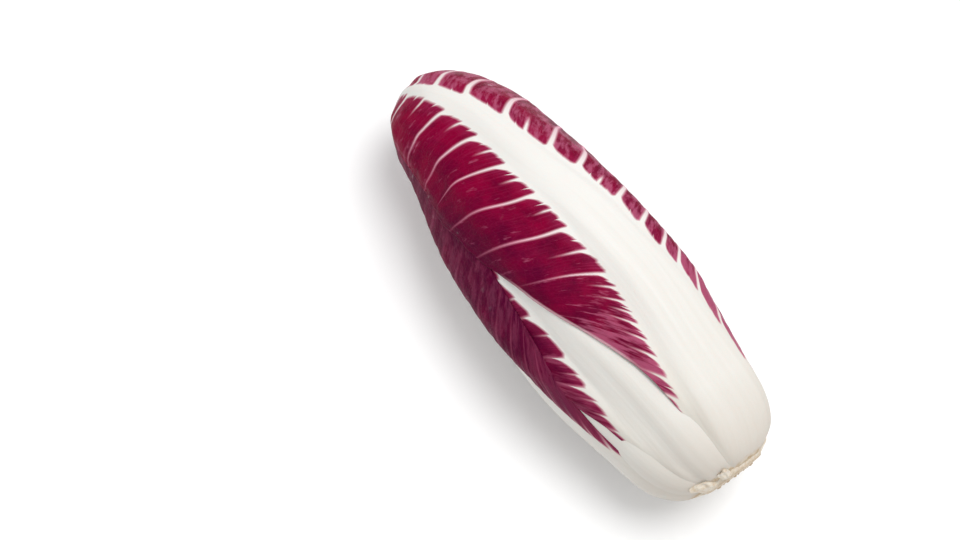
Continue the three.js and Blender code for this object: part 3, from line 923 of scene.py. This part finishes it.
def flesh_colour(n, at):
    """Ivory that is creamier low down and along its ridges, with painted shade in the creases
    between petioles.
    """
    # painted shade: cream darkening near a low petiole margin, where it meets the leaf below
    painted_crease_shade = (-(at.margin / 5)).math("EXPONENT") * at.low * 0.8
    lower = (at.share.falls_past(0.2, 0.6) * 0.8 + (at.ribbing - 0.5) * 0.8 + painted_crease_shade).clamped()
    flesh = n.blend(lower, IVORY, CREAM)
    flesh = n.blend(at.share.falls_past(0.07, 0.12) * 0.6, flesh, FOOT)
    return n.blend(((at.beyond - 2) / 18).clamped(), flesh, PALE)


def leaf_finish(name, seed, purple_shade_and_reflection, veins, lobes, fingers, saw, blunt, dried):
    n = ShaderNodes(name)
    at = LeafPlace(n, seed)
    flare = (-(at.beyond.at_least(0) / (3.5 + 5.5 * veins))).math("EXPONENT")
    within = within_blade(at, veins, lobes, fingers, saw, blunt)
    white = rib_and_veins(at, within, flare, veins)
    flesh = n.blend(white, EDGING, flesh_colour(n, at))
    colour = n.blend(white, blade_colour(n, at, within, flare, purple_shade_and_reflection), flesh)
    # a pale pink line along the lower margins: partly the narrow edge's own paler colour, partly a
    # painted highlight
    pale_rim_highlight = at.margin.falls_past(0.9, 0.6) * at.share.falls_past(0.46, 0.08)
    pale_rim_highlight = pale_rim_highlight * at.share.rises_past(0.22, 0.05) * max(1 - purple_shade_and_reflection * 2, 0)
    colour = n.blend(pale_rim_highlight * 0.8, colour, RIM_HIGHLIGHT_PINK)

    ageing = at.noise(2.5, 1.5, 9, 3.0, 0.7)
    cut = (at.along + (ageing - 0.5) * 3).falls_past(1.2, 1.6) * dried
    colour = n.blend(cut, colour, n.blend(ageing.rises_past(0.5, 0.3), TAN, STRAW))

    mesh = n.make(
        "ShaderNodeTexVoronoi",
        {"feature": "DISTANCE_TO_EDGE"},
        {"Vector": n.vector(at.across / 2.4, at.origin / 1.9, seed), "Scale": 1.0},
        out="Distance",
    )
    veinlets = mesh.falls_past(0.05, 0.09) * (1 - white)
    colour = n.blend(veinlets * 0.1, colour, ROSE)

    grain = at.noise(0.9, 1.4, 0, 3.0, 0.6)
    ripple = (at.ribbing - 0.5) * white + (at.streaks - 0.5) * (1 - white) * 0.8
    height = (grain - 0.5) * 0.22 + ripple * 0.7 - veinlets * 0.25
    rough = (0.4 + (at.mottle - 0.5) * 0.2 + white * 0.1 + cut * 0.3).clamped()
    glaze = at.noise(4, 4, 4, 1.0).rises_past(0.76, 0.08) * 0.7
    return n.finish(
        {
            "Base Color": colour,
            "Roughness": rough,
            "IOR": 1.33,
            "Specular IOR Level": 0.04,
            "Coat Weight": glaze * (1 - white) * at.share.rises_past(0.5, 0.2),
            "Coat Roughness": 0.2,
            "Subsurface Weight": 0.1,
            "Subsurface Radius": (1.0, 0.5, 0.4),
            "Subsurface Scale": 0.002,
        },
        Height=height,
        Distance=0.0006,
        Strength=0.5,
    )


def heart_finish():
    n = ShaderNodes("heart_leaf")
    along, round_it = n.attribute("along"), n.attribute("round")
    streaks = n.noise(n.vector(round_it * 14, along / 40, 0.0), 1.0, 4.0, 0.6)
    blade = n.blend(streaks, HEART_DEEP, HEART_RED)
    white = (along + (streaks - 0.5) * 60).falls_past(80, 18)
    colour = n.blend(white, blade, HEART_WHITE)
    return n.finish(
        {"Base Color": colour, "Roughness": 0.4 + (streaks - 0.5) * 0.15, "Coat Weight": 0.2},
        Height=streaks,
        Distance=0.0006,
        Strength=0.5,
    )


def stem_finish():
    """A knife cut through the crown: a pale pith, a browner ring of bundles and a dried rim, and
    round it the cream stumps of the leaves that were trimmed off."""
    n = ShaderNodes("cut_stem")
    radial, face, raised = n.attribute("radial"), n.attribute("face"), n.attribute("bundle")
    place = n.make("ShaderNodeTexCoord", {}, {}, out="Object")
    scaled = n.make("ShaderNodeVectorMath", {"operation": "SCALE"}, {0: place, "Scale": 1000.0})
    blotch = n.noise(scaled, 0.5, 4.0, 0.65)
    fibre = n.noise(scaled, 1.5, 3.0, 0.7)
    pith = n.blend(blotch.rises_past(0.5, 0.4), PITH_DARK, PITH_PALE)
    rim = (radial + (blotch - 0.5) * 0.4).rises_past(0.82, 0.25)
    bundles = 1 - ((radial - 0.6).absolute() * 8).clamped()
    browned = (bundles * 0.4 + rim * 0.5 + raised * 0.6).clamped() * fibre.rises_past(0.45, 0.4)
    cut = n.blend(browned.clamped(), pith, CUT_BROWN)
    skin = n.blend(blotch.rises_past(0.54, 0.2), STUMP_CREAM, STUMP_TAN)
    edge = (1 - (face - 0.5).absolute() * 5).clamped() * fibre.rises_past(0.45, 0.3)
    skin = n.blend((edge * 0.5).clamped(), skin, DRY_EDGE)
    colour = n.blend(face.rises_past(0.6, 0.3), skin, cut)
    return n.finish(
        {
            "Base Color": colour,
            "Roughness": 0.6 + (fibre - 0.5) * 0.3,
            "Subsurface Weight": 0.1,
            "Subsurface Radius": (1.0, 0.6, 0.4),
            "Subsurface Scale": 0.001,
        },
        Height=fibre * 0.6 + blotch,
        Distance=0.0007,
        Strength=0.8,
    )


# ---------------------------------------------------------------- heart and stem


def heart_object(finish):
    rows, columns = 150, 180
    start = math.asin(HEART_START / GIRTH_STATION - 1)
    phi = np.linspace(start, math.pi / 2 - 0.01, rows)[:, None] * np.ones(columns)
    turn = np.linspace(0, 2 * math.pi, columns, endpoint=False)
    theta = turn + LAP_TWIST * phi
    inner = core_height(phi, theta) - HEART_INSET
    points = placed(point_at(phi, theta, inner)).reshape(-1, 3)
    nose = point_at(np.array(math.pi / 2), 0.0, -3)
    ends = placed(np.array([[GIRTH_STATION - HEART_START, 0, 0], nose]))
    faces = closed_ring_faces(rows, columns)
    along = GIRTH_STATION - np.concatenate([points, ends])[:, 0] / MM + AXIS[0]
    around = np.concatenate([(theta / (2 * math.pi)).ravel(), [0, 0]])
    piece = mesh_object(
        "heart_leaves", np.concatenate([points, ends]), faces, {"along": along, "round": around}
    )
    piece.data.materials.append(finish)
    piece.data.shade_smooth()
    return piece


def cut_face_tree():
    """Sets rings of small raised bundles into the cut face."""
    nodes = GrowthNodes(
        "cut_face",
        [
            ("Bundles", "Int", 22),
            ("Ring radius", "Float", 7.6 * MM),
            ("Bundle radius", "Float", 0.55 * MM),
            ("Scatter", "Float", 1.1 * MM),
            ("Seed", "Int", 3),
            ("Centre", "Vector", (0.0, 0.0, 0.0)),
        ],
    )
    given = nodes.given

    def scattered(low, high, more):
        spread = {"Min": low, "Max": high, "Seed": given["Seed"] + more}
        return nodes.make("FunctionNodeRandomValue", {"data_type": "FLOAT"}, spread, out=1)

    inputs = {"Vertices": given["Bundles"], "Radius": given["Ring radius"]}
    circle = nodes.make("GeometryNodeMeshCircle", {}, inputs)
    away = nodes.vector(*(scattered(-1, 1, more) * given["Scatter"] for more in (1, 2)))
    circle = nodes.make("GeometryNodeSetPosition", {}, {"Geometry": circle, "Offset": away})
    inputs = {"Radius": given["Bundle radius"], "Subdivisions": 2}
    dot = nodes.make("GeometryNodeMeshIcoSphere", {}, inputs)
    inputs = {"Geometry": dot, "Scale": (1.0, 1.0, 0.5)}
    dot = nodes.make("GeometryNodeTransform", {}, inputs)
    inputs = {"Points": circle, "Instance": dot, "Scale": scattered(0.5, 1.3, 3)}
    dots = nodes.make("GeometryNodeInstanceOnPoints", {}, inputs)
    facing = (0.0, math.pi / 2 + CUT_SLANT * DEGREE, 0.0)
    inputs = {"Geometry": dots, "Translation": given["Centre"], "Rotation": facing}
    turned = nodes.make("GeometryNodeTransform", {}, inputs)
    real = nodes.make("GeometryNodeRealizeInstances", {}, {"Geometry": turned})
    for name in ("bundle", "face"):
        inputs = {"Geometry": real, "Name": name, "Value": 1.0}
        real = nodes.make("GeometryNodeStoreNamedAttribute", {}, inputs)
    join = nodes.tree.nodes.new("GeometryNodeJoinGeometry")
    for part in (given["Geometry"], real):
        nodes.tree.links.new(part.socket, join.inputs[0])
    return nodes.finish(Value(nodes, join.outputs[0]))


def crown():
    """The crown's points, faces and attributes: a slanting, uneven cut face, and the short cone
    behind it that the leaves stand on."""
    random = np.random.default_rng(7)
    sides, face_rings, cone_rings = 120, 22, 14
    turn = np.linspace(0, 2 * math.pi, sides, endpoint=False)
    waves = sum(
        random.normal(0, 1 / k) * np.cos(k * turn + random.uniform(0, 6.3)) for k in range(2, 9)
    )
    notches = 0.35 * np.abs(np.sin(2.5 * turn + 0.6)) ** 0.5
    points, radial, face = [], [], []
    for k in range(1, face_rings + 1):
        share = k / face_rings
        r = CUT_RADIUS * share * (1 + 0.05 * waves * share**3)
        dip = 0.9 * share**6 + 0.12 * waves * share + 0.18 * math.cos(9 * share) * share
        points.append((GIRTH_STATION + STEM_PROUD - dip, r))
        radial.append(share)
        face.append(1.0)
    for k in range(cone_rings + 1):
        station = STEM_TOP * k / cone_rings - 0.3 * (k == 0)
        phi = np.array(math.asin(max(station, 0) / GIRTH_STATION - 1))
        under = ring(phi)[1] + through(CORE_HEIGHT, phi / DEGREE) + through(CORE_PADDING, phi / DEGREE)
        r = np.full(sides, float(under) + 0.1) + (0.3 * waves - notches) * (k < 3)
        points.append((GIRTH_STATION - station + 0 * turn, r))
        radial.append(1.0)
        face.append(max(0.5 - 0.2 * k, 0))
    rings = [np.stack([x, r * np.sin(turn), r * np.cos(turn)], -1) for x, r in points]
    ends = [[GIRTH_STATION + STEM_PROUD, 0, 0], [GIRTH_STATION - STEM_TOP, 0, 0]]
    points = placed(np.concatenate([np.array(rings).reshape(-1, 3), ends]))
    attributes = {
        "radial": np.append(np.repeat(radial, sides), [0, 1]),
        "face": np.append(np.repeat(face, sides), [1, 0]),
    }
    return points, closed_ring_faces(len(rings), sides), attributes


def stump(pile, azimuth, half_width, length, thick):
    """What is left of a trimmed leaf: a low rounded pad on the petioles at the crown's rim."""
    rows, columns = 24, 40
    u = np.linspace(0, 1, rows)[:, None] * np.ones(columns)
    v = np.linspace(-1, 1, columns) * np.ones((rows, 1))
    station = 0.1 + (length + 0.4 * np.sin(3 * v + azimuth)) * u
    phi = np.arcsin(np.clip(station / GIRTH_STATION - 1, -1, 1))
    theta = azimuth * DEGREE + v * half_width * (1 - 0.25 * u**2) / np.maximum(ring(phi)[1], 8)
    under = blurred(blurred(blurred(pile.heights(phi, theta), 4), 4), 4) - 1
    dome = np.sqrt(np.clip(1 - v**4 - np.clip(u / 0.7 - 0.43, 0, 1) ** 3, 0, 1))
    dome *= 0.35 + 0.65 * np.sqrt(np.clip(u * 4, 0, 1))
    lumps = 1 + 0.22 * np.sin(6 * v + 4 * u + azimuth) * np.cos(7 * u - 3 * v)
    inner = placed(point_at(phi, theta, under)).reshape(-1, 3)
    outer = point_at(phi, theta, under + (thick + 1) * dome * lumps)
    outer[..., 0] += 0.9 * (1 - u) ** 3 * (1 - v**2)
    outer = placed(outer).reshape(-1, 3)
    quads = grid_quads(rows, columns)
    at = np.arange(rows * columns).reshape(rows, columns)
    faces = np.concatenate([quads + rows * columns, quads[:, ::-1], rim_walls(at, rows * columns)])
    faced = np.tile((0.75 * (1 - smoothstep(0, 0.12, u))).ravel(), 2)
    return np.concatenate([inner, outer]), faces.tolist(), {"radial": 0 * faced + 0.9, "face": faced}


def stem_object(pile, tree, finish):
    points, faces, attributes = crown()
    parts = [(points, faces, attributes)] + [stump(pile, **plan) for plan in STUMPS]
    points, faces, offset = [], [], 0
    for part in parts:
        points.append(part[0])
        faces += [[corner + offset for corner in face] for face in part[1]]
        offset += len(part[0])
    attributes = {key: np.concatenate([part[2][key] for part in parts]) for key in parts[0][2]}
    attributes["bundle"] = 0 * attributes["face"]
    piece = mesh_object("cut_stem_end", np.concatenate(points), faces, attributes)
    centre = placed(np.array([GIRTH_STATION + STEM_PROUD, 0.0, 0.0]))
    return grown(piece, tree, {"Centre": centre.tolist(), "Material": finish})


# ---------------------------------------------------------------- the head

pile = Pile()
leaves = [Leaf(index, **plan) for index, plan in enumerate(LEAVES)]
for leaf in reversed(leaves):
    leaf.drape(pile)

relief = leaf_relief_tree()
for leaf in leaves:
    finish = leaf_finish(f"{leaf.name}_skin", 11.3 * leaf.index, **leaf.look)
    piece = leaf_object(leaf, relief, finish)
    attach(piece, "root")
    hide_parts(leaf.name)

heart = heart_object(heart_finish())
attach(heart, "root")
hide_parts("heart")

stem = stem_object(pile, cut_face_tree(), stem_finish())
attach(stem, "root")
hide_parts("stem")

# ---------------------------------------------------------------- studio


def floor():
    n = ShaderNodes("pale_floor")
    material = n.finish({"Base Color": opaque(FLOOR_TONE, FLOOR_TONE, FLOOR_TONE), "Roughness": 0.7})
    corners = FLOOR_REACH * np.array([[-1, -1, 0], [1, -1, 0], [1, 1, 0], [-1, 1, 0]])
    piece = mesh_object("floor", corners, [[0, 1, 2, 3]])
    piece.data.materials.append(material)


def bearing(azimuth, elevation):
    a, e = azimuth * DEGREE, elevation * DEGREE
    return Vector((math.sin(a) * math.cos(e), -math.cos(a) * math.cos(e), math.sin(e)))


def softbox(name, azimuth, elevation, distance, size, power):
    light = bpy.data.lights.new(name, "AREA")
    light.shape = "DISK"
    light.size = size
    light.energy = power
    lamp = bpy.data.objects.new(name, light)
    way = bearing(azimuth, elevation)
    lamp.location = way * distance + Vector((0, 0, LIGHT_AIM * MM))
    lamp.rotation_euler = way.to_track_quat("Z", "Y").to_euler()
    bpy.context.collection.objects.link(lamp)


def camera():
    lens = bpy.data.cameras.new("camera")
    lens.lens = CAMERA["lens"]
    eye = bpy.data.objects.new("camera", lens)
    back = bearing(CAMERA["bearing"], CAMERA["height"])
    turn = back.to_track_quat("Z", "Y")
    right, up = turn @ Vector((1, 0, 0)), turn @ Vector((0, 1, 0))
    middle = Vector((0, 0, HEAD_MIDDLE * MM))
    aim = middle + (right * CAMERA["right"] + up * CAMERA["up"]) * MM
    eye.location = aim + back * CAMERA["distance"] * MM
    eye.rotation_euler = turn.to_euler()
    bpy.context.collection.objects.link(eye)
    bpy.context.scene.camera = eye


floor()
softbox("key", azimuth=147, elevation=74.5, distance=2.6, size=1.5, power=44)
world = bpy.data.worlds.new("studio")
world.use_nodes = True
world.node_tree.nodes["Background"].inputs["Color"].default_value = opaque(1, 1, 1)
world.node_tree.nodes["Background"].inputs["Strength"].default_value = SKY_STRENGTH
bpy.context.scene.world = world
bpy.context.scene.view_settings.view_transform = "Standard"
camera()
